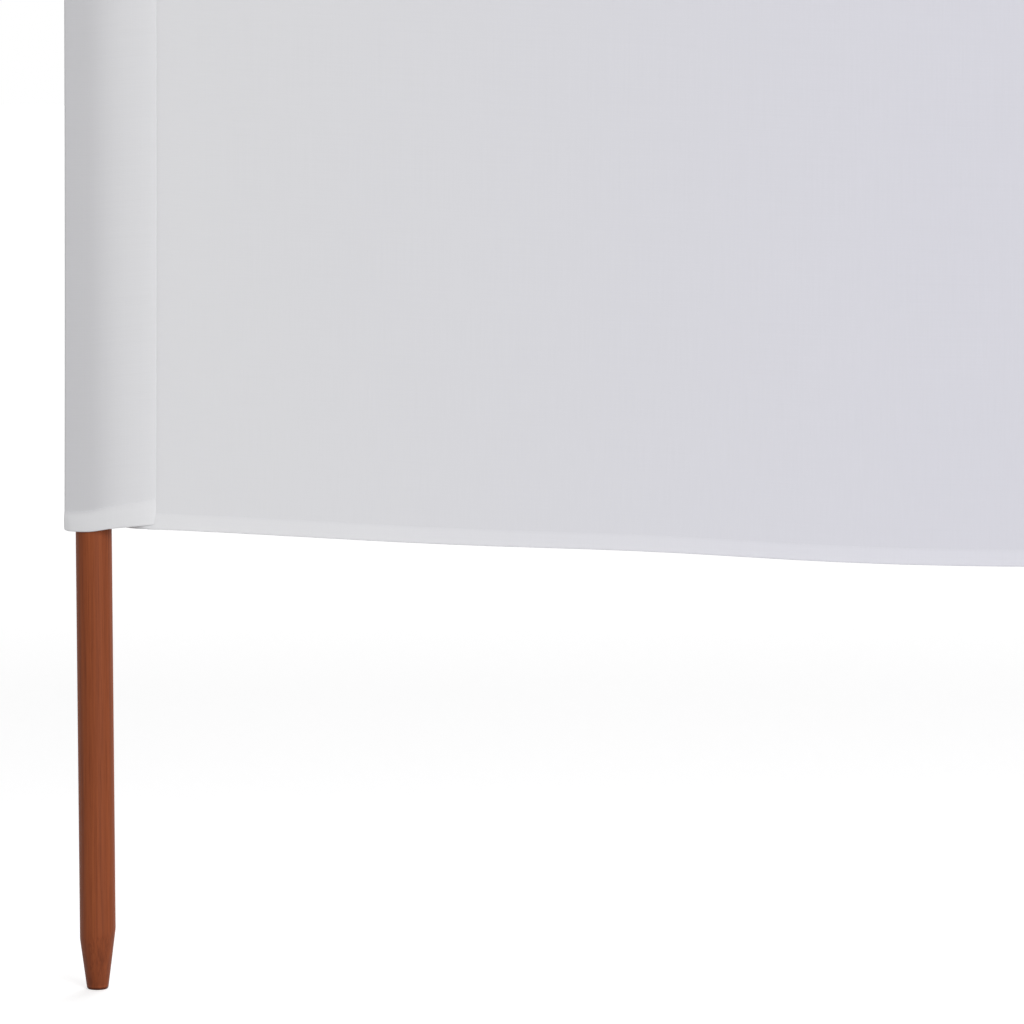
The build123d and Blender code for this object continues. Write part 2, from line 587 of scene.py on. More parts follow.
def pocket_places(number, way, level):
    """Places on a pocket's outer face, by the level and the way round from the seam over front and back."""
    cloth = bpy.context.scene.windbreak_cloth
    pocket = bpy.context.scene.windbreak_pocket
    radius = bpy.context.scene.windbreak_stake.radius + pocket.slack
    way = way_from_seam(number, way)
    on_front = way < 0.5
    front_share = denser_ends(np.clip(2 * way, 0, 1), POCKET_DENSITY)
    back_share = denser_ends(np.clip(2 * way - 1, 0, 1), POCKET_DENSITY)

    # Edges of the pocket, with the axis of its stake at zero
    alike = 1 if is_end(number) else number
    right = bay_seams(alike)[0] - stake_x(alike)
    if is_end(number):
        left = -pocket.crease_reach + pocket_lean(level)
        right = right + end_seam_drift(level)
        left_depth = cloth.seam_plane + pocket.crease_depth - CREASE_LEAN_SHARE * pocket_lean(level)
    else:
        left = -right * np.ones_like(level)
        left_depth = cloth.seam_plane

    # Front, from the seam to the crease or to the other seam
    front_x = right + (left - right) * front_share
    seam_gap = right - front_x
    front_y = cloth.seam_plane + (left_depth - cloth.seam_plane) * front_share ** FRONT_CURVE
    if not is_end(number):
        seam_gap = np.minimum(seam_gap, front_x - left)
        front_y = front_y - pocket.bulge * (1 - (front_x / right) ** 2)
    front_y = front_y - pocket.seam_roll * (1 - np.exp(-seam_gap / SEAM_ROLL_WIDTH))

    # Back, round the stake and drawn to the front beside each seam
    back_x, back_y = wrapped_path((left, left_depth), (right, cloth.seam_plane), radius, back_share)
    gap = right - back_x
    if not is_end(number):
        gap = np.minimum(gap, back_x - left)
    press_width = pocket.seam_press * (END_PRESS_SHARE if is_end(number) else 1)
    pressed = smooth_rise(gap, SEAM_FLAT_WIDTH, press_width)
    back_y = cloth.seam_plane + (back_y - cloth.seam_plane) * pressed
    from_edge = 1 - np.exp(-np.maximum(gap, 0) / SEAM_EDGE_ROUND)
    back_y = back_y + SEAM_LAYERS * cloth.thickness * (1 - pressed) * from_edge
    along = np.where(on_front, front_x, back_x)
    depth = np.where(on_front, front_y, back_y)

    # Top, closing over the stake to a flat hem
    hem_foot = cloth.head - cloth.hem_height
    closing = smooth_rise(level, STAKE_HIGH.z - CLOSING_START, hem_foot)
    rounding = np.sqrt(np.clip((cloth.head - level) / TOP_EDGE_ROUND, 0, 1))
    half_hem = cloth.hem_thickness / 2 * rounding
    flat_x = np.where(on_front, front_x, left + (right - left) * back_share)
    flat_y = cloth.seam_plane + (left_depth - cloth.seam_plane) * (right - flat_x) / (right - left)
    flat_y = flat_y + np.where(on_front, -half_hem, half_hem)
    along = along + (flat_x - along) * closing
    depth = depth + (flat_y - depth) * closing
    if number == STAKE_COUNT:
        along = -along
    return np.stack((stake_x(number) + along, depth, level), axis=-1)


def pocket_outwards(number, way, level):
    """Directions straight out of a pocket's face."""
    ahead = pocket_places(number, way + OUTWARD_STEP, level)
    travel = ahead - pocket_places(number, way - OUTWARD_STEP, level)
    outwards = np.stack((-travel[:, 1], travel[:, 0], np.zeros(len(travel))), axis=-1)
    return outwards / np.linalg.norm(outwards, axis=1, keepdims=True)


def mouth_rise(number, way):
    """How far a pocket's bottom edge lies above the level of the panels' bottom edge."""
    pocket = bpy.context.scene.windbreak_pocket
    way = way_from_seam(number, way)
    share = denser_ends(np.clip(2 * way, 0, 1), POCKET_DENSITY)
    if is_end(number):
        skew = 1 if number == 1 else FAR_MOUTH_SHARE
        corner = MOUTH_CORNER_LIFT * np.exp(-(1 - share) / MOUTH_CORNER_WIDTH)
        rise = pocket.mouth_lift - (pocket.mouth_lift + pocket.mouth_drop) * share + corner
        rise = rise - MOUTH_SAG * np.exp(-((share - MOUTH_SAG_PLACE) / MOUTH_SAG_WIDTH) ** 2)
        settle = (MOUTH_CORNER_LIFT - pocket.mouth_drop) * np.exp(-(way - 0.5) / MOUTH_BACK_FADE)
        settle = settle + MOUTH_BACK_LIFT * smooth_rise(way, MOUTH_BACK_START, MOUTH_BACK_END)
        settle = settle + (pocket.mouth_lift - MOUTH_BACK_LIFT) * smooth_rise(way, MOUTH_SEAM_START, 1)
        return skew * np.where(way < 0.5, rise, settle)
    sway = MIDDLE_SWAY * np.sin(2 * np.pi * share + number)
    return np.where(way < 0.5, sway * np.sin(np.pi * share), 0)


def cuff_fullness(number, way):
    """How full a cuff's fold is: flat where it is creased or sewn down, and full in between."""
    way = way_from_seam(number, way)
    to_seam = np.minimum(way, 1 - way)
    to_crease = np.abs(way - 0.5)
    return smooth_rise(to_seam, 0, CUFF_FULL_FROM_SEAM) * smooth_rise(to_crease, 0, CUFF_FULL_FROM_CREASE)


def cuff_top(number, way):
    """Height of a cuff's sewn edge above the mouth: an end cuff is folded wider towards its seam."""
    pocket = bpy.context.scene.windbreak_pocket
    if not is_end(number):
        return np.full_like(way, pocket.cuff_height)
    way = way_from_seam(number, way)
    to_crease = denser_ends(2 * np.minimum(way, 1 - way), POCKET_DENSITY)
    return pocket.cuff_height + pocket.cuff_flare * (CUFF_PLAIN_PLACE - to_crease)


def cuff_half(number, way, rise):
    """Half of a cuff's thickness: thin at its sewn edge, fuller towards the mouth."""
    cloth = bpy.context.scene.windbreak_cloth
    pocket = bpy.context.scene.windbreak_pocket
    full = CUFF_FOLD_LAYERS * cloth.thickness + pocket.cuff_fold * cuff_fullness(number, way)
    below = cuff_top(number, way) - rise
    swell = smooth_rise(below, 0, CUFF_FULL_SHARE * pocket.cuff_height)
    return CUFF_SEWN_LAYERS * cloth.thickness + full * swell


def cuff_layers(number, way, rise):
    """Where the layers of a cuff lie together, by the height above a pocket's mouth."""
    return CUFF_LIGHT * smooth_rise(cuff_top(number, way) - rise, CUFF_LIGHT_START, CUFF_LIGHT_END)


def stake_shade(number, places):
    """How dark the painted shadow of the stake inside falls on the cloth at each place."""
    aside = places[:, 0] - stake_x(number)
    if number == STAKE_COUNT:
        aside = -aside
    # Towards an end pocket's crease the painted shadow reaches further, as painted shade in the crease
    if is_end(number):
        aside = np.where(aside < 0, aside * SHADE_CREASE_SHARE, aside)
    aside = np.abs(aside)
    above = smooth_rise(places[:, 2], STAKE_HIGH.z - SHADE_FADE_BELOW, STAKE_HIGH.z + SHADE_FADE_ABOVE)
    return np.exp(-(aside / SHADE_WIDTH) ** SHADE_CURVE) * (1 - above)


def paint_pocket(piece, number, places, layers):
    """Stores where layers of cloth lie together on a pocket or cuff, and the painted shadow of its stake."""
    paint_points(piece, "layers", layers)
    paint_points(piece, "stake_shadow", stake_shade(number, places) * (1 - SHADE_HIDDEN * layers))


def new_node(tree, kind, **settings):
    """Adds a shader node with its settings."""
    node = tree.nodes.new(kind)
    for name, value in settings.items():
        setattr(node, name, value)
    return node


def start_material(name, roughness):
    """Starts a material and returns it with its node tree and main shader."""
    material = bpy.data.materials.new(name)
    material.use_nodes = True
    tree = material.node_tree
    shader = tree.nodes["Principled BSDF"]
    shader.inputs["Roughness"].default_value = roughness
    return material, tree, shader


def object_places(tree):
    """Adds the places on a piece that its patterns follow."""
    return new_node(tree, "ShaderNodeTexCoord").outputs["Object"]


def stored_numbers(tree, name):
    """Adds the numbers that are stored for a piece's points."""
    return new_node(tree, "ShaderNodeAttribute", attribute_name=name).outputs["Fac"]


def add_noise(tree, source, stretch, detail, roughness=0.55, shift=(0, 0, 0)):
    """Adds a noise pattern stretched along its axes."""
    mapping = new_node(tree, "ShaderNodeMapping")
    mapping.inputs["Scale"].default_value = stretch
    mapping.inputs["Location"].default_value = shift
    noise = new_node(tree, "ShaderNodeTexNoise")
    noise.inputs["Scale"].default_value = 1
    noise.inputs["Detail"].default_value = detail
    noise.inputs["Roughness"].default_value = roughness
    tree.links.new(source, mapping.inputs["Vector"])
    tree.links.new(mapping.outputs["Vector"], noise.inputs["Vector"])
    return noise.outputs["Fac"]


def add_bands(tree, source, direction, scale, distortion):
    """Adds a pattern of even bands across one direction."""
    bands = new_node(tree, "ShaderNodeTexWave", wave_type="BANDS", bands_direction=direction)
    bands.inputs["Scale"].default_value = scale
    bands.inputs["Distortion"].default_value = distortion
    tree.links.new(source, bands.inputs["Vector"])
    return bands.outputs["Fac"]


def add_range(tree, source, low, high, start=0.0, end=1.0):
    """Adds a map from one range of numbers to another."""
    spread = new_node(tree, "ShaderNodeMapRange")
    spread.inputs["From Min"].default_value = start
    spread.inputs["From Max"].default_value = end
    spread.inputs["To Min"].default_value = low
    spread.inputs["To Max"].default_value = high
    tree.links.new(source, spread.inputs["Value"])
    return spread.outputs["Result"]


def add_sum(tree, first, second, operation="ADD"):
    """Adds a sum, product or other simple step of two numbers."""
    step = new_node(tree, "ShaderNodeMath", operation=operation)
    tree.links.new(first, step.inputs[0])
    if isinstance(second, float):
        step.inputs[1].default_value = second
    else:
        tree.links.new(second, step.inputs[1])
    return step.outputs[0]


def add_ramp(tree, source, stops):
    """Adds a colour ramp with its stops."""
    ramp = new_node(tree, "ShaderNodeValToRGB")
    elements = ramp.color_ramp.elements
    while len(elements) < len(stops):
        elements.new(0.5)
    for element, (place, colour) in zip(elements, stops):
        element.position = place
        element.color = (*colour, 1)
    tree.links.new(source, ramp.inputs["Fac"])
    return ramp.outputs["Color"]


def add_mix(tree, factor, first, second, blend="MIX"):
    """Adds a mix of two colours."""
    mix = new_node(tree, "ShaderNodeMix", data_type="RGBA", blend_type=blend)
    for source, socket in ((factor, mix.inputs[0]), (first, mix.inputs[6]), (second, mix.inputs[7])):
        if isinstance(source, bpy.types.NodeSocket):
            tree.links.new(source, socket)
        elif isinstance(source, float):
            socket.default_value = source
        else:
            socket.default_value = (*source, 1)
    return mix.outputs[2]


def add_bump(tree, shader, height, strength, distance):
    """Gives a shader fine relief from a pattern's height."""
    bump = new_node(tree, "ShaderNodeBump")
    bump.inputs["Strength"].default_value = strength
    bump.inputs["Distance"].default_value = distance
    tree.links.new(height, bump.inputs["Height"])
    tree.links.new(bump.outputs["Normal"], shader.inputs["Normal"])


def make_cloth(name, cloth):
    """Plain-woven white cloth: lighter where layers lie together, with a painted shadow where the stake is
    behind it.
    """
    across_threads = 1500
    along_threads = 18
    cloud_stretch = (7, 5, 1)
    thread_grey = (0.965, 0.965, 0.965)
    cloud_grey = (0.985, 0.985, 0.99)
    warm_tint = (1, 1, 0.974)
    cool_tint = (0.981, 0.977, 1.012)
    tint_scale = 2 * math.pi / (20 * (stake_x(2) - stake_x(1)))
    painted_stake_shadow_grey = (0.865, 0.862, 0.868)
    material, tree, shader = start_material(name, roughness=0.8)
    shader.inputs["Sheen Weight"].default_value = 0.12
    shader.inputs["Sheen Roughness"].default_value = 0.45
    spots = new_node(tree, "ShaderNodeUVMap", uv_map="UVMap").outputs["UV"]
    warp = add_noise(tree, spots, stretch=(across_threads, along_threads, 1), detail=3)
    weft = add_noise(tree, spots, stretch=(along_threads, across_threads, 1), detail=3)
    threads = add_sum(tree, add_sum(tree, warp, weft), 0.5, "MULTIPLY")
    cloud = add_noise(tree, spots, stretch=cloud_stretch, detail=2)
    cloud_share = add_range(tree, cloud, low=0, high=0.5, start=0.3, end=0.7)
    colour = add_mix(tree, stored_numbers(tree, "layers"), tuple(cloth.colour), tuple(cloth.hem_colour))
    thread_tone = add_ramp(tree, threads, ((0.3, thread_grey), (0.7, (1, 1, 1))))
    colour = add_mix(tree, 1.0, colour, thread_tone, "MULTIPLY")
    colour = add_mix(tree, cloud_share, colour, cloud_grey, "MULTIPLY")
    drift = add_bands(tree, object_places(tree), "X", scale=tint_scale, distortion=0)
    colour = add_mix(tree, 1.0, colour, add_mix(tree, drift, warm_tint, cool_tint), "MULTIPLY")
    # Painted shadow of the stake inside, multiplied into the cloth's colour
    colour = add_mix(tree, stored_numbers(tree, "stake_shadow"), colour, painted_stake_shadow_grey, "MULTIPLY")
    tree.links.new(colour, shader.inputs["Base Color"])
    thread_gloss = add_range(tree, threads, low=0.72, high=0.88, start=0.3, end=0.7)
    tree.links.new(thread_gloss, shader.inputs["Roughness"])
    upright = add_bands(tree, spots, "X", scale=700, distortion=0.4)
    level = add_bands(tree, spots, "Y", scale=700, distortion=0.4)
    weave = add_sum(tree, add_sum(tree, upright, level), threads)
    add_bump(tree, shader, weave, strength=0.1, distance=0.00012)
    return material


def make_thread(name, colour):
    """White sewing thread with a twist."""
    twist_stretch = (2500, 2500, 2500)
    dark = np.array(colour) * 0.94
    light = np.array(colour) * 1.03
    material, tree, shader = start_material(name, roughness=0.55)
    twist = add_noise(tree, object_places(tree), stretch=twist_stretch, detail=1)
    tree.links.new(add_ramp(tree, twist, ((0.3, dark), (0.7, light))), shader.inputs["Base Color"])
    tree.links.new(add_range(tree, twist, low=0.5, high=0.65), shader.inputs["Roughness"])
    return material


def make_wood(name, stake):
    """Brown-stained softwood with the grain along the stake, darker on its cut point, with a painted
    highlight on the rim and painted shade on the blunt end.
    """
    broad_share = 0.45
    pore_shade = (0.6, 0.56, 0.55)
    point_shade = (0.86, 0.84, 0.86)
    painted_rim_highlight = (1.18, 1.18, 1.18)
    painted_end_shade = (0.42, 0.38, 0.36)
    material, tree, shader = start_material(name, roughness=0.5)
    shader.inputs["Specular IOR Level"].default_value = 0.12
    place = object_places(tree)
    broad = add_noise(tree, place, stretch=(170, 170, 2.6), detail=3, shift=(1.3, 0.6, 0.2))
    fine = add_noise(tree, place, stretch=(620, 620, 7), detail=4, roughness=0.65)
    pores = add_noise(tree, place, stretch=(1700, 1700, 22), detail=2)
    fine_part = add_sum(tree, fine, 1 - broad_share, "MULTIPLY")
    streaks = add_sum(tree, add_sum(tree, broad, broad_share, "MULTIPLY"), fine_part)
    colour = add_ramp(tree, streaks, ((0.34, stake.grain), (0.5, stake.stain), (0.68, stake.glow)))
    pore_share = add_range(tree, pores, low=0.55, high=0, start=0.34, end=0.46)
    colour = add_mix(tree, pore_share, colour, pore_shade, "MULTIPLY")
    height = new_node(tree, "ShaderNodeSeparateXYZ")
    tree.links.new(place, height.inputs["Vector"])
    # Darker point, a painted highlight round the rim just above the blunt end, and painted shade on the blunt
    # end's rim
    low_shades = ((point_shade, 0.02, 0.046), (painted_rim_highlight, 0.0028, 0.0038), (painted_end_shade, 0.0014, 0.0022))
    for shade, full, gone in low_shades:
        reach = add_range(tree, height.outputs["Z"], low=1, high=0, start=full, end=gone)
        colour = add_mix(tree, reach, colour, shade, "MULTIPLY")
    tree.links.new(colour, shader.inputs["Base Color"])
    grain_gloss = add_range(tree, fine, low=0.4, high=0.62, start=0.3, end=0.7)
    tree.links.new(grain_gloss, shader.inputs["Roughness"])
    add_bump(tree, shader, add_sum(tree, fine, pores), strength=0.35, distance=0.0003)
    return material


def shared_material(name, maker, *facts):
    """Makes a material once and hands out the same one after that."""
    return bpy.data.materials.get(name) or maker(name, *facts)


class WINDBREAK_OT_stakes(bpy.types.Operator):
    """Turn the round wooden stakes with their tapered points"""

    bl_idname = "windbreak.stakes"
    bl_label = "Stakes"

    def execute(self, context):
        stake = context.scene.windbreak_stake
        wood = shared_material("Stained wood", make_wood, stake)
        for number in range(1, STAKE_COUNT + 1):
            self.turn_stake(number, stake, wood)
        return {"FINISHED"}

    def taper(self, stake, height):
        """Radius of the stake at a height above its blunt end, before the end is rounded."""
        slope = (stake.radius - stake.point_radius) / stake.point_length
        return np.minimum(stake.point_radius + slope * height, stake.radius)

    def ring_sizes(self, stake):
        """Radii and levels of the rings that a stake is drawn up through, from its blunt end to its top."""
        foot, head = STAKE_LOW.z, STAKE_HIGH.z
        quarter = np.linspace(0, math.pi / 2, RIM_STEPS)
        rings = [(stake.point_radius - stake.rim, foot)]
        for turn in quarter[1:]:
            height = stake.rim * (1 - math.cos(turn))
            inset = RIM_ROUND_SHARE * stake.rim * (1 - math.sin(turn))
            rings.append((self.taper(stake, height) - inset, foot + height))
        cut_head = stake.point_length + CUT_REACH_SKEWS * stake.point_skew
        for height in np.linspace(stake.rim, cut_head, POINT_RINGS)[1:]:
            rings.append((self.taper(stake, height), foot + height))
        for level in np.linspace(foot + cut_head, head - stake.top_round, SHAFT_RINGS)[1:]:
            rings.append((stake.radius, level))
        for turn in quarter[1:]:
            rings.append((
                stake.radius - stake.top_round * (1 - math.cos(turn)),
                head - stake.top_round * (1 - math.sin(turn)),
            ))
        return rings

    def turn_stake(self, number, stake, wood):
        """Extrudes one stake upwards from its blunt end, ring by ring."""
        axis = stake_x(number)
        rings = self.ring_sizes(stake)
        bpy.ops.object.select_all(action="DESELECT")
        bpy.ops.mesh.primitive_circle_add(
            vertices=stake.sides, radius=rings[0][0], fill_type="NGON", location=(axis, 0, rings[0][1]),
        )
        piece = bpy.context.object
        piece.name = piece.data.name = f"wooden_stake_{number}"
        bpy.ops.object.mode_set(mode="EDIT")
        bpy.ops.mesh.select_all(action="SELECT")
        for (radius, level), (new_radius, new_level) in zip(rings, rings[1:]):
            bpy.ops.mesh.extrude_region_move(TRANSFORM_OT_translate={"value": (0, 0, new_level - level)})
            swell = new_radius / radius
            bpy.ops.transform.resize(value=(swell, swell, 1), center_override=(axis, 0, new_level))
        bpy.ops.mesh.select_all(action="SELECT")
        bpy.ops.mesh.normals_make_consistent(inside=False)
        bpy.ops.object.mode_set(mode="OBJECT")
        bpy.ops.object.transform_apply(location=True, rotation=True, scale=True)
        self.skew_point(piece, number, stake)
        finish_piece(piece, f"stake_{number}", wood)
        bpy.ops.object.shade_smooth_by_angle(angle=STAKE_SHARP_ANGLE)

    def skew_point(self, piece, number, stake):
        """Cuts the point a little askew, so that its taper starts lower on one side."""
        places = read_points(piece)
        aside = places[:, 0] - stake_x(number)
        height = places[:, 2] - STAKE_LOW.z
        turn = np.arctan2(places[:, 1], aside) - POINT_TURN * (number - 1)
        swell = self.taper(stake, height - stake.point_skew * np.cos(turn)) / self.taper(stake, height)
        places[:, 0] = stake_x(number) + aside * swell
        places[:, 1] *= swell
        place_points(piece, places)


class WINDBREAK_OT_panels(bpy.types.Operator):
    """Hang the panels of cloth between the stakes"""

    bl_idname = "windbreak.panels"
    bl_label = "Panels"

    def execute(self, context):
        cloth = context.scene.windbreak_cloth
        white = shared_material("White cloth", make_cloth, cloth)
        height = cloth.head - cloth.foot
        tuck = PANEL_TUCK_SHARE * cloth.hem_height
        for bay in range(1, STAKE_COUNT):
            left, right = bay_seams(bay)
            piece, across, up = add_grid(f"panel_cloth_{bay}", PANEL_COLUMNS, PANEL_ROWS)
            share = denser_ends(across, PANEL_SIDE_DENSITY) * (1 + 2 * PANEL_OVERLAP) - PANEL_OVERLAP
            rise = tuck + (height - 2 * tuck) * denser_ends(up, PANEL_EDGE_DENSITY)
            place_points(piece, cloth_places(bay, share, rise))
            scale_map(piece, right - left, height)
            weld(piece)
            thicken(piece, cloth.thickness, 0)
            finish_piece(piece, f"panel_{bay}", white)
        return {"FINISHED"}


class WINDBREAK_OT_hems(bpy.types.Operator):
    """Fold the hems along the panels' bottom and top edges"""

    bl_idname = "windbreak.hems"
    bl_label = "Hems"

    def execute(self, context):
        cloth = context.scene.windbreak_cloth
        white = shared_material("White cloth", make_cloth, cloth)
        for bay in range(1, STAKE_COUNT):
            self.fold_hem(bay, "bottom_hem", BOTTOM_TONGUE, cloth, white)
            self.fold_hem(bay, "top_hem", TOP_TONGUE, cloth, white)
        return {"FINISHED"}

    def fold_hem(self, bay, kind, tongue, cloth, white):
        """Rolls a grid into one flat fold of cloth that follows the panel's edge."""
        left, right = bay_seams(bay)
        piece, across, around = add_grid(f"{kind}_cloth_{bay}", HEM_COLUMNS, FOLD_POINTS)
        overlap = tongue / (right - left)
        share = denser_ends(across, HEM_DENSITY) * (1 + 2 * overlap) - overlap
        rise, side = fold_section(around, cloth.hem_height)
        pressed = stitch_press(cloth.hem_height, rise)
        below = cloth.hem_height - rise
        layers = sum(light * smooth_rise(below, start, end) for light, start, end in HEM_LIGHT_STEPS)
        half = hem_half(rise)
        to_seam = np.minimum(share, 1 - share) * (right - left)
        flat_end = 1 - smooth_rise(to_seam, 0, HEM_FLAT_END)
        half = half - np.clip(half - cloth.thickness, 0, None) * flat_end
        if kind == "top_hem":
            rise = cloth.head - cloth.foot - rise
        places = cloth_places(bay, share, rise)
        places[:, 1] += half * side * (1 - pressed)
        beyond = np.clip(np.abs(share - 0.5) - 0.5, 0, None) * (right - left)
        places[:, 1] += TONGUE_SET_BACK * (beyond / BOTTOM_TONGUE) ** TONGUE_CURVE
        place_points(piece, places)
        paint_points(piece, "layers", layers)
        scale_map(piece, right - left, 2 * cloth.hem_height)
        weld(piece, close_ends=True)
        finish_piece(piece, f"{kind}_{bay}", white)
        bpy.ops.object.shade_smooth_by_angle(angle=HEM_SHARP_ANGLE)


class WINDBREAK_OT_pockets(bpy.types.Operator):
    """Pull the pockets round the stakes and close them at the top"""

    bl_idname = "windbreak.pockets"
    bl_label = "Pockets"

    def execute(self, context):
        cloth = context.scene.windbreak_cloth
        white = shared_material("White cloth", make_cloth, cloth)
        height = cloth.head - cloth.foot
        for number in range(1, STAKE_COUNT + 1):
            piece, around, up = add_grid(f"pocket_cloth_{number}", POCKET_COLUMNS, POCKET_ROWS)
            mouth = mouth_rise(number, around)
            level = cloth.foot + mouth + (height - mouth) * np.interp(up, ROW_SHARES, ROW_CLIMBS)
            places = pocket_places(number, around, level)
            place_points(piece, places)
            paint_pocket(piece, number, places, cuff_layers(number, around, level - cloth.foot - mouth))
            scale_map(piece, POCKET_MAP_WIDTH, height)
            weld(piece, open_bag=True)
            thicken(piece, cloth.thickness, -1)
            finish_piece(piece, f"pocket_{number}", white)
        return {"FINISHED"}


class WINDBREAK_OT_cuffs(bpy.types.Operator):
    """Fold the hems round the mouths of the pockets"""

    bl_idname = "windbreak.cuffs"
    bl_label = "Cuffs"

    def execute(self, context):
        cloth = context.scene.windbreak_cloth
        pocket = context.scene.windbreak_pocket
        white = shared_material("White cloth", make_cloth, cloth)
        for number in range(1, STAKE_COUNT + 1):
            piece, around, section = add_grid(f"cuff_cloth_{number}", CUFF_COLUMNS, FOLD_POINTS)
            height = cuff_top(number, around)
            rise, side = fold_section(section, height)
            half = cuff_half(number, around, rise) * side * (1 - stitch_press(height, rise))
            reach = half - cloth.thickness / 2
            level = cloth.foot + mouth_rise(number, around) + rise
            places = pocket_places(number, around, level)
            places += pocket_outwards(number, around, level) * reach[:, None]
            place_points(piece, places)
            paint_pocket(piece, number, places, cuff_layers(number, around, rise))
            scale_map(piece, POCKET_MAP_WIDTH, 2 * pocket.cuff_height)
            weld(piece)
            finish_piece(piece, f"cuff_{number}", white)
        return {"FINISHED"}


class WINDBREAK_OT_stitching(bpy.types.Operator):
    """Sew the rows of stitches on the hems, pocket seams and cuffs"""

    bl_idname = "windbreak.stitching"
    bl_label = "Stitching"

    def execute(self, context):
        cloth = context.scene.windbreak_cloth
        stitch = context.scene.windbreak_stitch
        thread = shared_material("White thread", make_thread, cloth.colour)
        for bay in range(1, STAKE_COUNT):
            rows = [
                self.hem_row(bay, kind, side, cloth, stitch)
                for kind in ("bottom_hem", "top_hem") for side in (-1, 1)
            ]
            self.sew(f"hem_stitches_{bay}", rows, stitch, thread)
        for number in range(1, STAKE_COUNT + 1):
            ways = [SEAM_ROW_WAY, 1 - SEAM_ROW_WAY]
            if not is_end(number):
                ways = [SEAM_ROW_WAY, 0.5 - SEAM_ROW_WAY, 0.5 + SEAM_ROW_WAY, 1 - SEAM_ROW_WAY]
            rows = [self.seam_row(number, way, cloth, stitch) for way in ways]
            rows.append(self.cuff_row(number, cloth, stitch))
            self.sew(f"pocket_stitches_{number}", rows, stitch, thread)
        return {"FINISHED"}

    def hem_row(self, bay, kind, side, cloth, stitch):
        """Places along the row of stitches on one side of a hem."""
        share = np.linspace(HEM_ROW_MARGIN, 1 - HEM_ROW_MARGIN, ROW_POINTS)
        rise = np.full_like(share, cloth.hem_height - stitch.inset)
        half = hem_half(rise)
        if kind == "top_hem":
            rise = cloth.head - cloth.foot - rise
        places = cloth_places(bay, share, rise)
        places[:, 1] += side * (half - stitch.sink)
        return places

    def seam_row(self, number, way, cloth, stitch):
        """Places along the row of stitches beside a pocket's seam, from the cuff to the top."""
        cuff_edge = cloth.foot + mouth_rise(number, way) + cuff_top(number, np.array(way))
        level = np.linspace(cuff_edge + SEAM_ROW_START, cloth.head - SEAM_ROW_END, ROW_POINTS)
        way = np.full_like(level, way)
        return pocket_places(number, way, level) - pocket_outwards(number, way, level) * stitch.sink

    def cuff_row(self, number, cloth, stitch):
        """Places along the row of stitches round a cuff."""
        way = np.linspace(CUFF_ROW_MARGIN, 1 - CUFF_ROW_MARGIN, ROW_POINTS)
        rise = cuff_top(number, way) - stitch.inset
        level = cloth.foot + mouth_rise(number, way) + rise
        proud = cuff_half(number, way, rise) - cloth.thickness / 2 - stitch.sink
        return pocket_places(number, way, level) + pocket_outwards(number, way, level) * proud[:, None]

    def sew(self, name, rows, stitch, thread):
        """Sews rows of stitches and joins them into one piece."""
        sewn = [self.sew_row(places, stitch) for places in rows]
        bpy.ops.object.select_all(action="DESELECT")
        for row in sewn:
            row.select_set(True)
        bpy.context.view_layer.objects.active = sewn[0]
        bpy.ops.object.join()
        piece = bpy.context.object
        piece.name = piece.data.name = name
        finish_piece(piece, None, thread)

    def sew_row(self, places, stitch):
        """Models one stitch and repeats it along a line through a row's places."""
        line = bpy.data.curves.new("stitch_line", "CURVE")
        line.dimensions = "3D"
        spline = line.splines.new("POLY")
        spline.points.add(len(places) - 1)
        spline.points.foreach_set("co", np.insert(places, 3, 1, axis=1).ravel())
        path = bpy.data.objects.new("stitch_line", line)
        bpy.context.scene.collection.objects.link(path)
        bpy.ops.object.select_all(action="DESELECT")
        bpy.ops.mesh.primitive_uv_sphere_add(
            segments=STITCH_SIDES, ring_count=STITCH_RINGS, radius=0.5, location=(stitch.pitch / 2, 0, 0),
            rotation=(0, math.pi / 2, 0), scale=(stitch.width, stitch.width, stitch.length),
        )
        bpy.ops.object.transform_apply(location=True, rotation=True, scale=True)
        row = bpy.context.object
        repeat = row.modifiers.new("Row", "ARRAY")
        repeat.fit_type = "FIT_CURVE"
        repeat.curve = path
        repeat.use_relative_offset = False
        repeat.use_constant_offset = True
        repeat.constant_offset_displace = (stitch.pitch, 0, 0)
        row.modifiers.new("Line", "CURVE").object = path
        bpy.ops.object.modifier_apply(modifier="Row")
        bpy.ops.object.modifier_apply(modifier="Line")
        bpy.data.objects.remove(path)
        bpy.data.curves.remove(line)
        return row


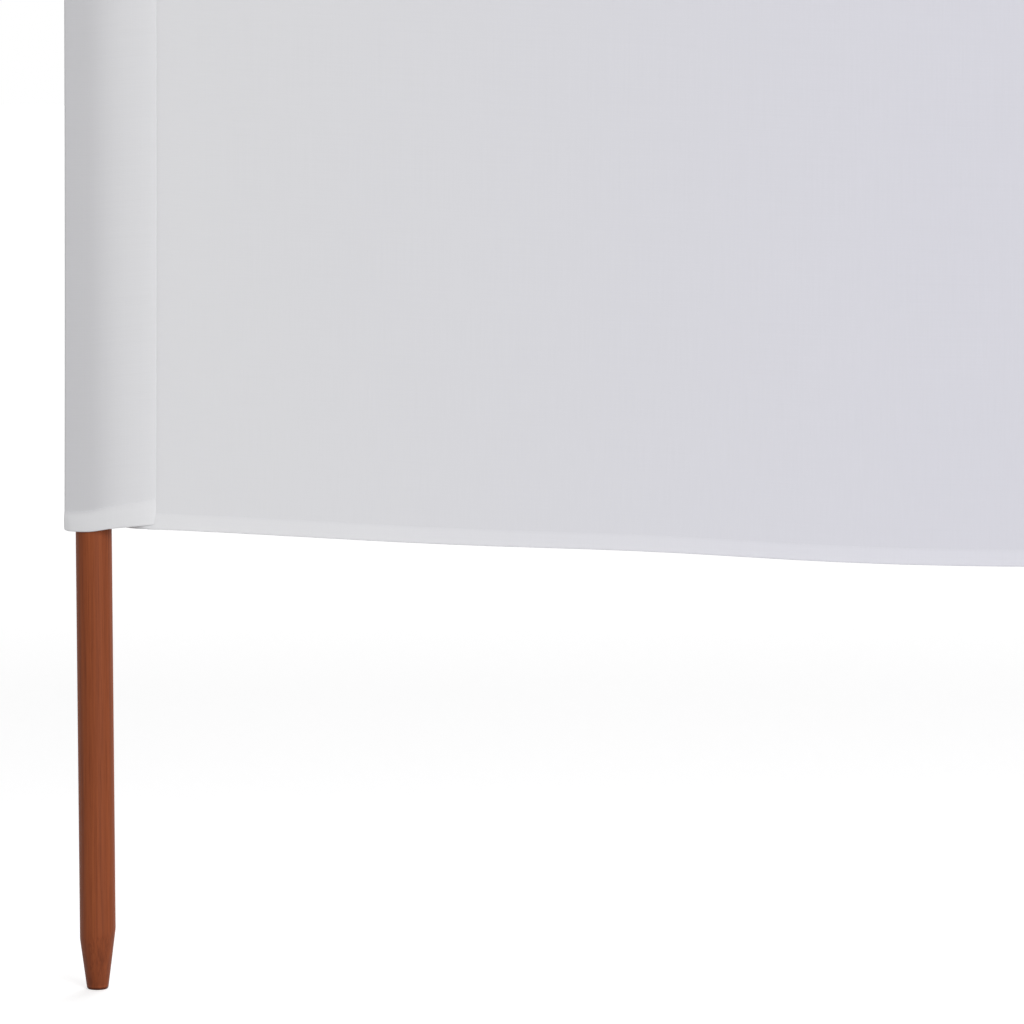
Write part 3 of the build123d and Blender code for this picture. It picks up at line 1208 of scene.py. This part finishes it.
class WINDBREAK_OT_stage(bpy.types.Operator):
    """Set the camera, the light and the floor"""

    bl_idname = "windbreak.stage"
    bl_label = "Stage"

    def execute(self, context):
        stage = context.scene.windbreak_stage
        context.scene.view_settings.view_transform = "Standard"
        self.place_camera(context, stage)
        self.lay_floor(stage)
        self.hang_light("Key light", stage.key, KEY_SPREAD, KEY_SIDE)
        self.hang_light("Back light", stage.fill, BACK_SPREAD, BACK_SIDE)
        self.light_sky(context.scene, stage)
        return {"FINISHED"}

    def place_camera(self, context, stage):
        """Places the camera low in front of the first stake, to its right."""
        side = stake_x(1) + stage.side
        turn = (math.pi / 2 - stage.tilt, 0, 0)
        bpy.ops.object.camera_add(location=(side, -stage.distance, stage.height), rotation=turn)
        camera = context.object
        camera.data.lens = stage.lens
        camera.data.sensor_width = SENSOR_WIDTH
        camera.data.clip_end = VIEW_END
        context.scene.camera = camera

    def lay_floor(self, stage):
        """Lays a wide white floor that keeps a soft shadow."""
        bpy.ops.object.select_all(action="DESELECT")
        bpy.ops.mesh.primitive_plane_add(size=stage.floor_size, location=(0, 0, 0))
        floor = bpy.context.object
        floor.name = floor.data.name = "floor"
        material, tree, shader = start_material("Floor paint", FLOOR_ROUGHNESS)
        grain = add_noise(tree, object_places(tree), stretch=(FLOOR_GRAIN,) * 3, detail=3)
        paint = add_ramp(tree, grain, ((0, FLOOR_DARK), (1, FLOOR_LIGHT)))
        tree.links.new(paint, shader.inputs["Base Color"])
        shader.inputs["Specular IOR Level"].default_value = 0
        glow = new_node(tree, "ShaderNodeEmission")
        glow.inputs["Strength"].default_value = FLOOR_GLOW
        nothing = new_node(tree, "ShaderNodeEmission")
        nothing.inputs["Strength"].default_value = 0
        both = new_node(tree, "ShaderNodeAddShader")
        tree.links.new(shader.outputs["BSDF"], both.inputs[0])
        tree.links.new(self.choose_by_sight(tree, nothing, glow), both.inputs[1])
        tree.links.new(both.outputs["Shader"], tree.nodes["Material Output"].inputs["Surface"])
        floor.data.materials.append(material)

    def choose_by_sight(self, tree, unseen, seen):
        """Chooses between two shaders by whether the camera sees them, also in a gloss or through glass."""
        path = new_node(tree, "ShaderNodeLightPath").outputs
        sight = add_sum(tree, path["Is Camera Ray"], path["Is Glossy Ray"], "MAXIMUM")
        sight = add_sum(tree, sight, path["Is Transmission Ray"], "MAXIMUM")
        choice = new_node(tree, "ShaderNodeMixShader")
        tree.links.new(sight, choice.inputs[0])
        tree.links.new(unseen.outputs[0], choice.inputs[1])
        tree.links.new(seen.outputs[0], choice.inputs[2])
        return choice.outputs["Shader"]

    def hang_light(self, name, strength, spread, side):
        """Hangs a broad, soft light that shines from one side."""
        bpy.ops.object.light_add(type="SUN", location=(0, 0, LAMP_HEIGHT))
        lamp = bpy.context.object
        lamp.name = lamp.data.name = name
        lamp.rotation_euler = Vector(side).to_track_quat("Z", "Y").to_euler()
        lamp.data.energy = strength
        lamp.data.angle = math.radians(spread)
        lamp.visible_camera = False

    def light_sky(self, scene, stage):
        """Lights the scene evenly from all round, with a white background."""
        scene.world = bpy.data.worlds.new("Studio")
        scene.world.use_nodes = True
        tree = scene.world.node_tree
        soft = tree.nodes["Background"]
        soft.inputs["Color"].default_value = WHITE
        soft.inputs["Strength"].default_value = stage.sky
        white = new_node(tree, "ShaderNodeBackground")
        white.inputs["Color"].default_value = WHITE
        white.inputs["Strength"].default_value = 1
        tree.links.new(self.choose_by_sight(tree, soft, white), tree.nodes["World Output"].inputs["Surface"])


class WINDBREAK_OT_declare(bpy.types.Operator):
    """Does nothing: the panels and pockets are left as they are"""

    bl_idname = "windbreak.declare"
    bl_label = "Cloth Sizes"

    def execute(self, context):
        return {"FINISHED"}


class WINDBREAK_PT_panel(bpy.types.Panel):
    """Lists the steps that build the windbreak"""

    bl_idname = "WINDBREAK_PT_panel"
    bl_label = "Beach Windbreak"
    bl_space_type = "VIEW_3D"
    bl_region_type = "UI"
    bl_category = "Windbreak"

    def draw(self, context):
        for step in STEPS:
            self.layout.operator(step.bl_idname)


SETTINGS = {
    "windbreak_stake": WindbreakStakeSettings,
    "windbreak_cloth": WindbreakClothSettings,
    "windbreak_pocket": WindbreakPocketSettings,
    "windbreak_stitch": WindbreakStitchSettings,
    "windbreak_stage": WindbreakStageSettings,
}
STEPS = (
    WINDBREAK_OT_stakes,
    WINDBREAK_OT_panels,
    WINDBREAK_OT_hems,
    WINDBREAK_OT_pockets,
    WINDBREAK_OT_cuffs,
    WINDBREAK_OT_stitching,
    WINDBREAK_OT_declare,
    WINDBREAK_OT_stage,
)


def register():
    for name, group in SETTINGS.items():
        bpy.utils.register_class(group)
        setattr(bpy.types.Scene, name, PointerProperty(type=group))
    for step in STEPS:
        bpy.utils.register_class(step)
    bpy.utils.register_class(WINDBREAK_PT_panel)


def unregister():
    bpy.utils.unregister_class(WINDBREAK_PT_panel)
    for step in reversed(STEPS):
        bpy.utils.unregister_class(step)
    for name, group in SETTINGS.items():
        delattr(bpy.types.Scene, name)
        bpy.utils.unregister_class(group)


def main():
    register()
    bpy.ops.windbreak.stakes()
    bpy.ops.windbreak.panels()
    bpy.ops.windbreak.hems()
    bpy.ops.windbreak.pockets()
    bpy.ops.windbreak.cuffs()
    bpy.ops.windbreak.stitching()
    bpy.ops.windbreak.declare()
    bpy.ops.windbreak.stage()


if __name__ == "__main__":
    main()
